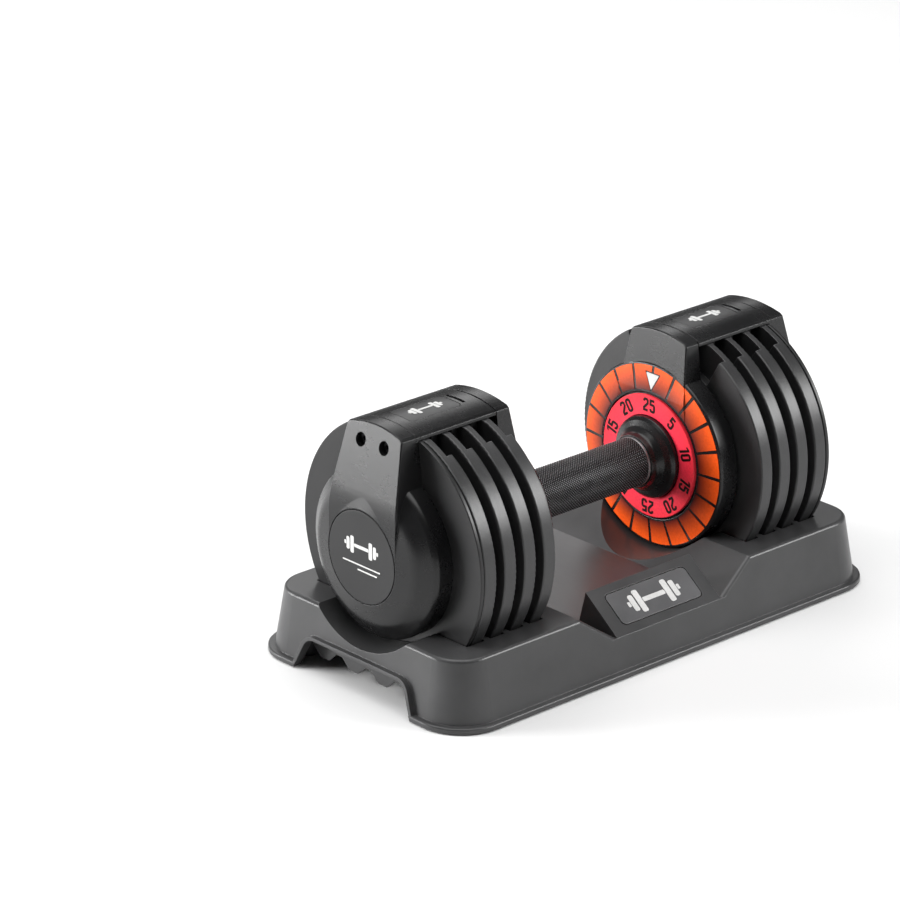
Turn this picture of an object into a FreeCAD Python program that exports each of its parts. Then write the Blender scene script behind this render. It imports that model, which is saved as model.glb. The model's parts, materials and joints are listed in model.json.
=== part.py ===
import FreeCAD, Part

import math
import os

from FreeCAD import Vector

# An adjustable dumbbell in its storage tray, in millimetres.
# X runs along the handle, Z is up, and the origin is the centre of the tray's underside.
# Every piece of a head is drawn on the +X side ("right") and mirrored for the left.

# ---------------------------------------------------------------- driving dimensions

SHAFT_Z = 86.1               # height of the handle's axis above the floor

# Tray: half sizes in X and Y, corner radius, height
FLANGE_HALF = (180.0, 95.0)
FLANGE_CORNER = 31.0
FLANGE_Z = (0.8, 4.2)
WALL_FOOT_HALF = (176.5, 91.5)
WALL_FOOT_CORNER = 28.0
WALL_TOP_HALF = (170.5, 84.0)
WALL_TOP_CORNER = 22.0
DECK_Z = 43.5
TRAY_WALL = 2.5
DECK_EDGE_ROUND = 2.6
VALLEY_FLOOR_Z = 24.5
VALLEY_FLOOR_HALF = 45.0
VALLEY_TOP_HALF = 72.0
CRADLE_RADIUS = 80.3         # of the plate slots, about a line just above the shaft
CRADLE_RISE = 1.4
OUTER_TROUGH = 58.5          # radii of the hollows that the head drums lie in
INNER_TROUGH = 61.5
ARCH_HALF = (55.0, 43.0)     # end arch: half width at the floor and at its top
ARCH_TOP_Z = 21.5
ARCH_CORNER = 9.0
ARCH_LIP = (2.0, 3.0)        # width and height of the raised lip round the arch
WEDGE_HALF = 44.0            # label block on the front side
WEDGE_SECTION = ((-87.0, 19.5), (-87.3, 24.5), (-59.5, 45.5), (-54.0, 24.5), (-54.0, 19.5))
LABEL_HALF = (33.5, 11.0)
LABEL_GAP = 0.75             # width of the groove round the label
PAD_PLACE = (157.5, 65.0)
PAD_RADIUS = 7.0

# Weight plates
PLATE_RADIUS = 78.5
PLATE_THICK = 9.5
PLATE_PITCH = 15.8
PLATE_4_START = 87.0         # inboard face of the innermost plate
PLATE_EDGE = 1.0
PLATE_SLOT_HALF = 15.0
PLATE_TOP_RISE = 74.0        # flat on top, above the shaft
PLATE_STEP_RADIUS = 58.0
PLATE_STEP_ANGLE = 30.7
PLATE_STEP_DEPTH = 4.8
LUG_HALF = 6.0
LUG_RADII = (25.0, 32.0)
LUG_PROUD = 2.6

# Heads
OUTER_DISC_X = (144.3, 147.0)
DRUM_RADIUS = 54.3           # outer drums
CAP_SHELL = 2.5
BLOCK_HALF = 24.0            # half width of the top block
NECK_HALF = 29.5             # half width of a neck where it meets its drum
NECK_FOOT_Z = 118.0
BLOCK_CORNER_Z = 164.0
BLOCK_CROWN_Z = 167.2
BLOCK_BEVEL = 1.7
NECK_EDGE = 0.9
NECK_SWEEP = 90.0            # how gently the outer neck's face runs out into the drum's
COVER_X = (85.1, 148.4)
COVER_SKIRT_Z = 160.5
COVER_UNDER_Z = 161.2
BADGE_RADIUS = 29.0
BADGE_GAP = 0.55             # width of the groove round the badge
POINTER_Z = (129.8, 139.8)
SCREW_Y = (-10.1, 10.1)
SCREW_Z = 155.5
SCREW_RECESS = 4.2
SCREW_HOLE = 2.1
SEGMENTS = 20
SEGMENT_RADII = (42.6, 58.3)
SEGMENT_FILL = 0.87          # share of the pitch that a coloured segment takes
SEGMENT_PROUD = 0.3
POINTER_PROUD = 0.45
POINTER_DEPTH = 0.2
LABEL_GROOVE_X = (136.8, 139.0)
INNER_MOUTH = 41.2           # radius of the opening that the dial turns in
INNER_DRUM = 60.0            # radius of the inner drums
INNER_FACE = ((84.5, INNER_DRUM), (70.6, INNER_DRUM), (68.3, INNER_MOUTH))
INNER_ROUNDS = (0, 0, 1.6, 0.6, 0)
INNER_NECK = ((84.5, SHAFT_Z), (84.5, 170), (75.3, 170), (68.3, 127.3), (68.3, SHAFT_Z))

# Handle
GRIP_RADIUS = 15.8
GRIP_BORE = 13.3
GRIP_END = 54.5
HEX_CORNER = 13.8
INNER_JOURNAL = 14.0
OUTER_JOURNAL = 11.0
ROD_RADIUS = 6.0
RUNNING_FIT = 0.06
DIAL_RADII = (26.6, 39.9)
DIAL_X = (66.9, 68.9)
DISH_RADIUS = 40.4
WHEEL_RADIUS = 49.5
RIM_BORE = 43.0              # the lock's notches are cut outwards from here
RIM_FLOOR_X = 75.3
NOTCHES = 20
NOTCH_DEPTH = 3.2
SELECTOR_RING = (33.0, 36.5)

# Docking lock
LOCK_FOOT_Z = 31.5
LOCK_STEM_HALF = 3.0
POST_TOP_Z = 31.2
POST_X = (79.4, 83.6)
POST_HALF = 4.0
SPRING_TOP_Z = SHAFT_Z - 22.0
SPRING_FOOT_Z = SHAFT_Z - 38.0

PLATES = {n: PLATE_4_START + (4 - n) * PLATE_PITCH for n in (1, 2, 3, 4)}
# Arcs, clockwise seen from the handle and repeated half a turn on, over which each
# selector ring has its carrying wall
RING_START = {4: 54.0, 3: 90.0, 2: 126.0, 1: 162.0}
RING_END = 198.0


# ---------------------------------------------------------------- helpers

def on_xy(z):
    return lambda a, b: Vector(a, b, z)


def on_yz(x):
    return lambda a, b: Vector(x, a, b)


def on_xz(y):
    return lambda a, b: Vector(a, y, b)


def about_shaft(x, r):
    """A point of a profile that is to be turned about the shaft."""
    return Vector(x, 0, SHAFT_Z + r)


def outline(points, radii, place):
    """Closed wire through 2-D points, with each corner rounded by its radius."""
    count = len(points)
    if not isinstance(radii, (list, tuple)):
        radii = [radii] * count
    starts, ends, arcs = [], [], []
    for i, (a, b) in enumerate(points):
        before = Vector(*points[i - 1], 0) - Vector(a, b, 0)
        after = Vector(*points[(i + 1) % count], 0) - Vector(a, b, 0)
        corner = Vector(a, b, 0)
        if radii[i] == 0:
            starts.append(corner)
            ends.append(corner)
            arcs.append(None)
            continue
        half = before.getAngle(after) / 2
        reach = radii[i] / math.tan(half)
        before.normalize()
        after.normalize()
        middle = before + after
        middle.normalize()
        start, end = corner + before * reach, corner + after * reach
        belly = corner + middle * (radii[i] / math.sin(half) - radii[i])
        starts.append(start)
        ends.append(end)
        arcs.append(Part.Arc(*(place(p.x, p.y) for p in (start, belly, end))).toShape())
    edges = []
    for i in range(count):
        if arcs[i]:
            edges.append(arcs[i])
        a, b = ends[i], starts[(i + 1) % count]
        if (a - b).Length > 1e-6:
            edges.append(Part.makeLine(place(a.x, a.y), place(b.x, b.y)))
    return Part.Wire(edges)


def slab(points, radii, place, along):
    """Solid between an outline and its copy moved by the vector along."""
    return Part.Face(outline(points, radii, place)).extrude(along)


def slab_x(points, radii, x0, x1):
    """Y-Z outline filled from x0 to x1."""
    return slab(points, radii, on_yz(x0), Vector(x1 - x0, 0, 0))


def box(x, y, z):
    """Block from three (low, high) pairs."""
    size = [high - low for low, high in (x, y, z)]
    return Part.makeBox(*size, Vector(x[0], y[0], z[0]))


def disc(radius, x0, x1, y=0.0, z=SHAFT_Z):
    """Cylinder along X."""
    return Part.makeCylinder(radius, x1 - x0, Vector(x0, y, z), Vector(1, 0, 0))


def ring(outer, inner, x0, x1):
    """Tube along the shaft."""
    return disc(outer, x0, x1).cut(disc(inner, x0 - 1, x1 + 1))


def turned(points, radii=0):
    """Profile of (x, radius) points turned about the shaft."""
    face = Part.Face(outline(points, radii, about_shaft))
    return face.revolve(Vector(0, 0, SHAFT_Z), Vector(1, 0, 0), 360)


def hexagon(corner, x0, x1):
    """Hexagonal bar along the shaft, a flat on top."""
    points = []
    for k in range(6):
        angle = math.radians(60 * k)
        points.append((corner * math.cos(angle), SHAFT_Z + corner * math.sin(angle)))
    return slab_x(points, 0, x0, x1)


def polar(radius, degrees):
    """(y, z) at an angle from the top of the shaft towards -Y."""
    angle = math.radians(degrees)
    return -radius * math.sin(angle), SHAFT_Z + radius * math.cos(angle)


def sector(radius, start, end, x0, x1):
    """Wedge about the shaft between two angles less than half a turn apart."""
    reach = radius / math.cos(math.radians((end - start) / 4))
    points = [(0, SHAFT_Z), polar(reach, start), polar(reach, (start + end) / 2), polar(reach, end)]
    return slab_x(points, 0, x0, x1)


def fused(shapes):
    """One solid out of several that touch."""
    shapes = list(shapes)
    return shapes[0].multiFuse(shapes[1:]).removeSplitter()


def group(shapes):
    return Part.makeCompound(list(shapes))


def mirrored(shape):
    """The same piece for the -X side."""
    return shape.mirror(Vector(0, 0, 0), Vector(1, 0, 0))


def both(shape):
    return group([shape, mirrored(shape)])


def rounded(shape, radius, chosen):
    """Fillet of the edges whose middle point passes the test chosen(point)."""
    edges = [e for e in shape.Edges
             if chosen(e.valueAt((e.FirstParameter + e.LastParameter) / 2))]
    return shape.makeFillet(radius, edges)


def write(name, shape):
    os.makedirs("parts", exist_ok=True)
    shape.exportStep("parts/" + name + ".step")


def write_pair(name, shape):
    write(name + "_right", shape)
    write(name + "_left", mirrored(shape))


# ---------------------------------------------------------------- tray

def rectangle(half, inset):
    a, b = half[0] - inset, half[1] - inset
    return ((a, b), (-a, b), (-a, -b), (a, -b))


def tray_walls(inset):
    """Block with the tray's sloping sides, all faces moved in by inset."""
    foot = outline(rectangle(WALL_FOOT_HALF, inset), WALL_FOOT_CORNER - inset,
                   on_xy(FLANGE_Z[0] - inset))
    top = outline(rectangle(WALL_TOP_HALF, inset), WALL_TOP_CORNER - inset,
                  on_xy(DECK_Z - inset))
    return Part.makeLoft([foot, top], True, True)


def valley(inset):
    """The dip across the middle that makes room for a hand."""
    run = VALLEY_TOP_HALF - VALLEY_FLOOR_HALF
    rise = DECK_Z - VALLEY_FLOOR_Z
    shift = inset * math.hypot(run, rise) / rise
    low, high = VALLEY_FLOOR_Z - inset, DECK_Z + 10
    foot = VALLEY_FLOOR_HALF + (low - VALLEY_FLOOR_Z) * run / rise + shift
    brim = VALLEY_FLOOR_HALF + (high - VALLEY_FLOOR_Z) * run / rise + shift
    points = ((-brim, high), (-foot, low), (foot, low), (brim, high))
    return slab(points, 0, on_xz(-120), Vector(0, 240, 0))


def slots():
    """X extents of the four plate slots of a head; the last also holds the outer disc."""
    spans = [(x - 0.8, x + PLATE_THICK + 0.8) for x in PLATES.values()]
    outermost = max(spans)
    spans.remove(outermost)
    return spans + [(outermost[0], OUTER_DISC_X[1] + 0.8)]


def head_hollows(inset):
    """Everything cut out of the deck for one head."""
    cuts = [disc(CRADLE_RADIUS + inset, x0 - inset, x1 + inset, z=SHAFT_Z + CRADLE_RISE)
            for x0, x1 in slots()]
    cuts.append(disc(INNER_TROUGH + inset, VALLEY_FLOOR_HALF - inset, PLATES[4] + 1))
    cuts.append(disc(OUTER_TROUGH + inset, OUTER_DISC_X[1] - 1, 200))
    return cuts


def label_wedge(inset):
    wire = outline(WEDGE_SECTION, 0, on_yz(-WEDGE_HALF + inset))
    if inset:
        wire = wire.makeOffset2D(-inset, 2)
    return Part.Face(wire).extrude(Vector(2 * (WEDGE_HALF - inset), 0, 0))


def tray_form(inset):
    """The tray's solid form with every face moved inwards by inset."""
    body = tray_walls(inset).cut(valley(inset))
    if not inset:
        body = rounded(body, DECK_EDGE_ROUND, on_deck_rim)
    body = body.fuse(label_wedge(inset))
    for cut in head_hollows(inset):
        body = body.cut(cut).cut(mirrored(cut))
    return body


def on_deck_rim(point):
    """True on the edges between the sloping walls and whatever the deck is there."""
    on_top = point.z > VALLEY_FLOOR_Z - 0.1
    slope = (DECK_Z - point.z) / (DECK_Z - FLANGE_Z[0])
    wall_x = WALL_TOP_HALF[0] + slope * (WALL_FOOT_HALF[0] - WALL_TOP_HALF[0])
    wall_y = WALL_TOP_HALF[1] + slope * (WALL_FOOT_HALF[1] - WALL_TOP_HALF[1])
    at_corner = abs(point.x) > wall_x - WALL_TOP_CORNER and abs(point.z - DECK_Z) < 0.1
    at_side = abs(abs(point.y) - wall_y) < 0.3
    at_end = abs(abs(point.x) - wall_x) < 0.3
    return on_top and (at_side or at_end or at_corner) and not on_wall_corner(point)


def on_wall_corner(point):
    """True on the upright seams at the tray's round corners."""
    return VALLEY_FLOOR_Z > point.z or abs(point.z - (DECK_Z + FLANGE_Z[0]) / 2) < 0.5


def arch(grow):
    """End arch's opening, its outline grown by grow."""
    foot, top = ARCH_HALF
    high = ARCH_TOP_Z + grow
    points = ((-foot - grow, -5), (-top - grow, high), (top + grow, high), (foot + grow, -5))
    return slab_x(points, (0, ARCH_CORNER + grow, ARCH_CORNER + grow, 0), 150, 200)


def comb_rib():
    """Cross rib behind the arch; four blunt teeth hang from it."""
    teeth, pitch, x0, x1 = 4, 26.0, 163.0, 166.0
    root_z, tip_z, root_half, tip_half = 12.4, 6.2, 10.4, 3.8
    rib = [box((x0, x1), (-50, 50), (root_z, 32))]
    for k in range(teeth):
        y = (k - (teeth - 1) / 2) * pitch
        points = ((y - root_half, root_z), (y - tip_half, tip_z),
                  (y + tip_half, tip_z), (y + root_half, root_z))
        rib.append(slab_x(points, 0, x0, x1))
    return rib


def corner_posts():
    """Posts that the foot pads are pressed into."""
    posts = []
    for sx in (-1, 1):
        for sy in (-1, 1):
            place = Vector(sx * PAD_PLACE[0], sy * PAD_PLACE[1], 1.2)
            post = Part.makeCylinder(PAD_RADIUS + 1.6, DECK_Z - 2 - place.z, place)
            posts.append(post.cut(Part.makeCylinder(PAD_RADIUS, 2.0, place - Vector(0, 0, 1))))
    return posts


def label_place():
    """Placement at the middle of the wedge's face, local Z square to that face."""
    (_, _), (y0, z0), (y1, z1), *_ = WEDGE_SECTION
    angle = math.degrees(math.atan2(z1 - z0, y1 - y0))
    middle = Vector(0, (y0 + y1) / 2, (z0 + z1) / 2)
    return FreeCAD.Placement(middle, FreeCAD.Rotation(Vector(1, 0, 0), angle))


def label_plate(grow, low, high):
    plate = slab(rectangle(LABEL_HALF, -grow), 3.2 + grow, on_xy(low), Vector(0, 0, high - low))
    plate.Placement = label_place()
    return plate


def tray_shell():
    outer, inner = tray_form(0), tray_form(TRAY_WALL)
    shell = outer.cut(inner)
    flange = slab(rectangle(FLANGE_HALF, 0), FLANGE_CORNER, on_xy(FLANGE_Z[0]),
                  Vector(0, 0, FLANGE_Z[1] - FLANGE_Z[0]))
    flange = rounded(flange, 1.2, lambda p: abs(p.z - FLANGE_Z[1]) < 0.01).cut(tray_walls(TRAY_WALL))
    width, proud = ARCH_LIP
    lip = arch(width).cut(arch(0)).common(tray_walls(-proud)).cut(tray_walls(TRAY_WALL))
    room = outer.cut(head_room())
    ribs = [rib.common(room) for rib in comb_rib()]
    shell = fused([shell, flange, lip, mirrored(lip)] + corner_posts() + ribs
                  + [mirrored(rib) for rib in ribs])
    shell = shell.cut(arch(0).cut(arch_keep())).cut(mirrored(arch(0).cut(arch_keep())))
    moat = label_plate(LABEL_GAP, -1.4, 0).cut(label_plate(-0.5, -3, 1))
    shell = shell.cut(label_plate(LABEL_GAP, -0.6, 1.0)).cut(moat)
    return shell.cut(box((-200, 200), (-120, 120), (-9, FLANGE_Z[0])))


def head_room():
    """What the ribs must stay clear of: nothing above the trough's own skin."""
    return disc(OUTER_TROUGH, 140, 200)


def arch_keep():
    """The end arches cut only the end walls, not the rib behind them."""
    return box((140, 167.5), (-60, 60), (-10, 60))


def release_post():
    """Stub on the trough's floor that pushes the lock open."""
    post = box(POST_X, (-POST_HALF, POST_HALF), (22.0, POST_TOP_Z))
    post = rounded(post, 0.8, lambda p: abs(p.z - POST_TOP_Z) < 0.01)
    return post.common(disc(INNER_TROUGH - 0.02, 70, 90))


def make_tray():
    write("tray_shell", tray_shell())
    write("tray_label", label_plate(0, -0.6, 0.1))
    write("release_posts", both(release_post()))
    pads = []
    for sx in (-1, 1):
        for sy in (-1, 1):
            place = Vector(sx * PAD_PLACE[0], sy * PAD_PLACE[1], 0)
            pads.append(Part.makeCylinder(PAD_RADIUS, 2.2, place))
    write("foot_pads", group(pads))


# ---------------------------------------------------------------- plates

def plate(number):
    """Steel plate with an open slot over the shaft, a step round its top and a lifting lug."""
    x0 = PLATES[number]
    x1 = x0 + PLATE_THICK
    body = rounded(disc(PLATE_RADIUS, x0, x1), PLATE_EDGE, lambda p: True)
    step = ring(PLATE_RADIUS + 5, PLATE_STEP_RADIUS, x0 - 1, x0 + PLATE_STEP_DEPTH)
    body = body.cut(step.common(sector(120, -PLATE_STEP_ANGLE, PLATE_STEP_ANGLE, x0 - 2, x1)))
    throat = box((x0 - 1, x1 + 1), (-PLATE_SLOT_HALF, PLATE_SLOT_HALF), (SHAFT_Z, SHAFT_Z + 90))
    body = body.cut(throat.fuse(disc(PLATE_SLOT_HALF, x0 - 1, x1 + 1)))
    body = body.cut(box((x0 - 1, x1 + 1), (-60, 60), (SHAFT_Z + PLATE_TOP_RISE, SHAFT_Z + 90)))
    lug = box((x0 - LUG_PROUD, x0 + 1), (-LUG_HALF, LUG_HALF),
              (SHAFT_Z - LUG_RADII[1], SHAFT_Z - LUG_RADII[0]))
    return body.fuse(lug).removeSplitter()


def make_plates():
    for number in PLATES:
        write_pair("plate_%d" % number, plate(number))


# ---------------------------------------------------------------- turning handle

def collar():
    """Flared plastic collar between grip and dial."""
    points = ((53.5, GRIP_RADIUS), (53.5, 16.9), (57.5, 17.6), (60.5, 20.6), (62.5, 24.6),
              (64.2, 26.4), (68.9, 26.4), (68.9, GRIP_BORE), (GRIP_END, GRIP_BORE),
              (GRIP_END, GRIP_RADIUS))
    return turned(points, (0, 0.4, 3, 3, 2, 1.0, 0, 0, 0, 0))


def dial_ring():
    inner, outer = DIAL_RADII
    front, back = DIAL_X
    return turned(((back, inner), (front, inner), (front, outer), (back, outer)), (0, 0.5, 0.5, 0))


def index_wheel():
    """Dished wheel behind the dial; its rim has click scallops outside, lock notches inside."""
    dish = disc(DISH_RADIUS, DIAL_X[1], 72.2)
    wheel = turned(((72.0, 0), (72.0, 42.4), (77.0, WHEEL_RADIUS), (79.3, WHEEL_RADIUS), (79.3, 0)))
    wheel = wheel.cut(disc(RIM_BORE, RIM_FLOOR_X, 80))
    for k in range(NOTCHES):
        y, z = polar(1, 360.0 * k / NOTCHES)
        outward = Vector(0, y, z - SHAFT_Z)
        notch = box((RIM_FLOOR_X, 80), (-2.5, 2.5),
                    (SHAFT_Z + RIM_BORE - 3, SHAFT_Z + RIM_BORE + NOTCH_DEPTH))
        notch.rotate(Vector(0, 0, SHAFT_Z), Vector(1, 0, 0), 360.0 * k / NOTCHES)
        scallop_at = Vector(71, 0, SHAFT_Z) + outward * (WHEEL_RADIUS + 3.0)
        scallop = Part.makeCylinder(3.8, 9, scallop_at, Vector(1, 0, 0))
        wheel = wheel.cut(notch).cut(scallop)
    return wheel.fuse(dish).cut(hexagon(HEX_CORNER + 0.1, 60, 90)).removeSplitter()


def drive_sleeve():
    """Hexagonal bar that turns with the grip and carries wheel and selector discs."""
    bar = fused([disc(GRIP_BORE - 0.05, 38, 68.9), hexagon(HEX_CORNER, 68.9, 79.4),
                 disc(INNER_JOURNAL, 79.4, 81.9), hexagon(HEX_CORNER, 81.9, 144.2),
                 disc(OUTER_JOURNAL, 144.2, 147)])
    return bar.cut(disc(ROD_RADIUS + RUNNING_FIT, 30, 150))


def selector_disc(number):
    """Disc with a wall on its outboard side that passes under the plate's lug."""
    face = PLATES[number]
    web_x = (82.0, 84.0) if number == 4 else (face - 5.5, face - 3.1)
    inner, outer = SELECTOR_RING
    wall = ring(outer, inner, web_x[1] - 0.2, face - 0.4)
    arcs = []
    for start in (RING_START[number], RING_START[number] + 180):
        arcs.append(wall.common(sector(60, start, start + RING_END - RING_START[number], 70, 150)))
    web = disc(outer, *web_x)
    return fused([web] + arcs).cut(hexagon(HEX_CORNER + 0.1, 60, 160))


def make_handle():
    write("grip_tube", ring(GRIP_RADIUS, GRIP_BORE, -GRIP_END, GRIP_END))
    write_pair("collar", collar())
    write_pair("dial_ring", dial_ring())
    write_pair("index_wheel", index_wheel())
    write_pair("drive_sleeve", drive_sleeve())
    for number in PLATES:
        write_pair("selector_disc_%d" % number, selector_disc(number))


# ---------------------------------------------------------------- carriage: rod, covers, heads

def crowned(inset, foot_z, waist_half, x0, x1):
    """Upright cap section: a neck that widens downwards, bevelled and arched on top."""
    half = BLOCK_HALF - inset
    waist = waist_half - inset
    corner = BLOCK_CORNER_Z - inset
    points = [(-waist, foot_z), (-waist, NECK_FOOT_Z), (-half, corner - BLOCK_BEVEL),
              (-half + BLOCK_BEVEL, corner), (half - BLOCK_BEVEL, corner),
              (half, corner - BLOCK_BEVEL), (waist, NECK_FOOT_Z), (waist, foot_z)]
    place = on_yz(x0)
    spots = [place(*p) for p in points]
    edges = [Part.makeLine(a, b) for a, b in zip(spots, spots[1:] + spots[:1])]
    edges[3] = Part.Arc(spots[3], place(0, BLOCK_CROWN_Z - inset), spots[4]).toShape()
    return Part.Face(Part.Wire(edges)).extrude(Vector(x1 - x0, 0, 0))


def neck(inset, side_points, side_radii=0):
    """Crowned section trimmed to an X-Z side view."""
    side = slab(side_points, side_radii, on_xz(-50), Vector(0, 100, 0))
    return crowned(inset, SHAFT_Z, NECK_HALF, 60, 180).common(side)


def on_neck_rim(point):
    """True on the edges round a neck's face, above its drum."""
    at_side = abs(point.y) > 22 and point.z > NECK_FOOT_Z + 1
    return at_side or point.z > BLOCK_CROWN_Z - 1


def end_cap():
    """Outer cap: drum with a domed end, and a neck up to the top block."""
    x0 = OUTER_DISC_X[1]
    skin = CAP_SHELL
    drum = turned(((x0, 0), (x0, DRUM_RADIUS), (159.3, DRUM_RADIUS), (167.3, 43.0),
                   (170.3, BADGE_RADIUS + 1.0), (170.3, 0)), (0, 0, 5, 15, 1.2, 0))
    room = turned(((x0 - 1, 0), (x0 - 1, DRUM_RADIUS - skin), (157.8, DRUM_RADIUS - skin),
                   (165.0, 41.5), (167.3, BADGE_RADIUS), (167.3, 0)), (0, 0, 3, 10, 1, 0))
    body = neck(0, ((x0, SHAFT_Z), (x0, 170), (158.0, 170), (170.3, 116.3), (170.3, SHAFT_Z)),
                (0, 0, 0, NECK_SWEEP, 0))
    body = rounded(body, NECK_EDGE, lambda p: p.x > 158.1 and on_neck_rim(p))
    hollow = neck(skin, ((x0 - 1, SHAFT_Z), (x0 - 1, 158), (x0 + 4, 162.5), (156.3, 162.5),
                         (167.3, 114.5), (167.3, SHAFT_Z)), (0, 0, 0, 0, NECK_SWEEP, 0))
    cap = drum.fuse(body).cut(room.fuse(hollow))
    cap = cap.cut(disc(BADGE_RADIUS + BADGE_GAP, 169.5, 172))
    cap = cap.cut(ring(BADGE_RADIUS + BADGE_GAP, BADGE_RADIUS - 0.4, 168.8, 172))
    boss = disc(10.5, x0 + 10.4, 168)
    for y in SCREW_Y:
        post = disc(SCREW_RECESS + 1.6, x0, 165, y, SCREW_Z)
        cap = cap.fuse(post.common(body)).cut(disc(SCREW_RECESS, 156.0, 175, y, SCREW_Z))
        cap = cap.cut(disc(SCREW_HOLE, 140, 160, y, SCREW_Z))
    cap = cap.fuse(boss).cut(disc(7.5, 140, 160.2))
    return cap.removeSplitter().cut(box((140, COVER_X[1] + 0.2), (-60, 60), (COVER_SKIRT_Z - 0.3, 180)))


def cap_screws():
    """Two pan-head screws per end, with a socket in each head."""
    screws = []
    for y in SCREW_Y:
        head = rounded(disc(3.7, 156.0, 158.2, y, SCREW_Z), 0.8, lambda p: p.x > 158.1)
        screw = head.fuse(disc(2.0, 138.0, 156.2, y, SCREW_Z))
        points = [(y + 1.9 * math.cos(math.radians(60 * k)), SCREW_Z + 1.9 * math.sin(math.radians(60 * k)))
                  for k in range(6)]
        screws.append(screw.cut(slab_x(points, 0, 156.9, 160)))
    return group(screws)


def end_badge():
    plate = disc(BADGE_RADIUS, 169.5, 170.5)
    return rounded(plate, 0.35, lambda p: p.x > 170.4)


def inner_cap():
    """Inner cap: drum round the index wheel, domed in to the dial's opening, with a neck."""
    skin = CAP_SHELL
    drum = turned(((84.5, 42),) + INNER_FACE + ((72.0, INNER_MOUTH),), INNER_ROUNDS)
    body = neck(0, INNER_NECK)
    body = rounded(body, NECK_EDGE, lambda p: p.x < 75.2 and on_neck_rim(p))
    hollow = neck(skin, ((90, SHAFT_Z), (90, 163.0), (77.2, 163.0), (71.6, 127.3), (71.6, SHAFT_Z)))
    room = turned(((90, 0), (90, INNER_DRUM - 3), (73.2, INNER_DRUM - 3), (71.6, 43.5), (71.6, 0)),
                  (0, 0, 2, 1, 0))
    cap = drum.fuse(body).cut(room).cut(hollow).cut(disc(INNER_MOUTH, 60, 90))
    return cap.cut(lock_window(79.7, 83.3)).cut(weight_pointer()).removeSplitter()


def lock_window(x0, x1):
    """Opening at the bottom of a drum for the lock's stem."""
    half = LOCK_STEM_HALF + 0.3
    stem = box((x0, x1), (-half, half), (SHAFT_Z - INNER_DRUM - 3, SHAFT_Z - 44))
    return stem.fuse(post_room())


def post_room():
    """Space that the tray's release post takes in the bottom of the drum."""
    half = POST_HALF + 0.4
    return box((POST_X[0] - 0.4, POST_X[1] + 0.4), (-half, half), (SHAFT_Z - 64, POST_TOP_Z + 0.5))


def inner_skin(proud, depth):
    """Layer over the inner cap's face and neck, from depth below their surface to proud above it."""
    face = turned(((84.5, 42),) + INNER_FACE + ((72.0, INNER_MOUTH),), INNER_ROUNDS)
    top = face.fuse(neck(0, INNER_NECK)).cut(disc(INNER_MOUTH + 1, 60, 90))
    bottom = top.copy()
    top.translate(Vector(-proud, 0, 0))
    bottom.translate(Vector(depth, 0, 0))
    return top.cut(bottom)


def dial_segments():
    """Thin coloured inlays round the dial, on the inner cap's face and across its neck."""
    inner, outer = SEGMENT_RADII
    skin = inner_skin(SEGMENT_PROUD, 0).common(ring(outer, inner, 60, 76)).cut(pointer_prism(0.8))
    pitch = 360.0 / SEGMENTS
    pieces = []
    for k in range(SEGMENTS):
        middle = (k + 0.5) * pitch
        half = pitch * SEGMENT_FILL / 2
        piece = skin.common(sector(70, middle - half, middle + half, 60, 90))
        pieces += [s for s in piece.Solids if s.Volume > 3]
    return group(pieces)


def pointer_prism(grow):
    """The pointer's triangle, its sides moved out by grow, run right through the neck."""
    low, high = POINTER_Z
    half = 5.5
    wide = half + 1.6 * grow
    points = ((0, low - 2 * grow), (-wide, high + grow), (wide, high + grow))
    return slab_x(points, 0.3, 60, 90)


def weight_pointer():
    """White triangle let into the inner neck, pointing down at the dial."""
    return pointer_prism(0).common(inner_skin(POINTER_PROUD, POINTER_DEPTH))


def bearing_plate():
    """Plate that closes the inner cap, guides the lock and anchors its spring and the click leaf."""
    plate = disc(INNER_DRUM - 3.2, 79.8, 83.2).cut(disc(37.5, 81.4, 90)).cut(post_room())
    tab = neck(CAP_SHELL + 0.2, ((79.8, 125), (79.8, 158), (83.2, 158), (83.2, 125)))
    plate = plate.fuse(tab).cut(disc(16.0, 70, 90))
    plate = plate.cut(box((79.0, 84), (-LOCK_STEM_HALF - 0.1, LOCK_STEM_HALF + 0.1), (30, SHAFT_Z - 37.5)))
    anchor = box((75.4, 80), (-3.2, 3.2), (SPRING_TOP_Z, SPRING_TOP_Z + 4))
    return plate.fuse(anchor).removeSplitter()


def detent_leaf():
    """Bent leaf spring whose nose clicks over the wheel's scallops."""
    top = SHAFT_Z + 58
    nose = SHAFT_Z + WHEEL_RADIUS + 0.35
    t = 0.7
    points = ((-19, top), (-12, top), (0, nose), (12, top), (19, top), (19, top + t),
              (11.7, top + t), (0, nose + t * 1.3), (-11.7, top + t), (-19, top + t))
    leaf = slab_x(points, (0, 2, 1.2, 2, 0, 0, 2.7, 2.1, 2.7, 0), 77.1, 79.1)
    feet = [box((77.1, 79.8), (y - 1.8, y + 1.8), (top + t, top + t + 3)) for y in (-16.5, 16.5)]
    return fused([leaf] + feet)


def bridge_keel():
    """Spine under the top cover; it fills the plates' slots and its fins stand between them."""
    spine = box((83.4, OUTER_DISC_X[0]), (-13.6, 13.6), (SHAFT_Z + 40, 160.9))
    faces = [x + PLATE_THICK for x in sorted(PLATES.values())]
    fins = [box((face + 0.9, face + 5.4), (-21, 21), (150, 160.9)) for face in faces[:-1]]
    spine = fused([spine] + fins)
    for y in SCREW_Y:
        spine = spine.cut(disc(SCREW_HOLE, 136, 150, y, SCREW_Z))
    return spine


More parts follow.
